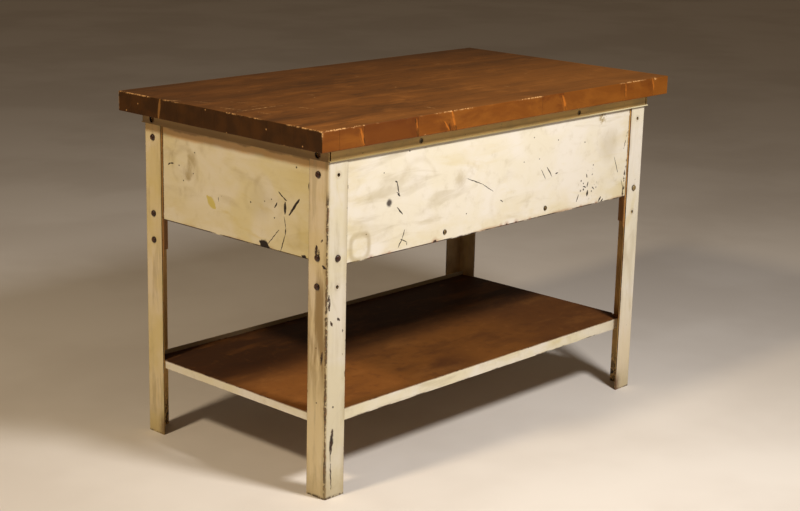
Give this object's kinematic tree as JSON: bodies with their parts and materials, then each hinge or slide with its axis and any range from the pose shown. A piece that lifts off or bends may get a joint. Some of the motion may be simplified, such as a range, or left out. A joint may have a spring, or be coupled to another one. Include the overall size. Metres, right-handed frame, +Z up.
{
  "type": "butcher block table",
  "caption": "Work table with a thick laminated wooden top on a steel ring, angle legs, sheet-steel aprons and a low sheet-steel shelf.",
  "frame": {"origin": "on the floor under the middle of the top", "axes": "+X along the top's length, +Y from the front long side to the back, +Z up"},
  "size_m": [1.28, 0.7, 0.864],
  "materials": {
    "maple": "worn dark varnish",
    "rail_steel": "old cream paint, dulled",
    "leg_paint": "old cream paint, edges rusted",
    "apron_paint": "old cream paint, scratched",
    "inner_steel": "thin rusted paint",
    "shelf_steel": "worn brown over cream",
    "rusty_bolts": "rusted",
    "plain_hardware": "dull",
    "screw_steel": "dull, dark"
  },
  "bodies": {
    "root": {"apron_nuts": "plain_hardware", "apron_screws": "screw_steel", "front_apron": "apron_paint", "front_left_gusset": "inner_steel", "front_left_leg": "leg_paint", "front_left_post": "inner_steel", "front_rail": "rail_steel", "front_right_gusset": "inner_steel", "front_right_leg": "leg_paint", "front_right_post": "inner_steel", "lag_screws": "plain_hardware", "lag_washers": "plain_hardware", "left_apron": "apron_paint", "left_rail": "rail_steel", "leg_bolts": "rusty_bolts", "leg_nuts": "plain_hardware", "leg_washers": "plain_hardware", "rear_apron": "apron_paint", "rear_left_gusset": "inner_steel", "rear_left_leg": "leg_paint", "rear_left_post": "inner_steel", "rear_rail": "rail_steel", "rear_right_gusset": "inner_steel", "rear_right_leg": "leg_paint", "rear_right_post": "inner_steel", "right_apron": "apron_paint", "right_rail": "rail_steel", "shelf": "shelf_steel", "stave_01": "maple", "stave_02": "maple", "stave_03": "maple", "stave_04": "maple", "stave_05": "maple", "stave_06": "maple", "stave_07": "maple", "stave_08": "maple", "stave_09": "maple", "stave_10": "maple", "stave_11": "maple", "stave_12": "maple", "stave_13": "maple", "stave_14": "maple", "stave_15": "maple", "stave_16": "maple"}
  },
  "joints": []
}
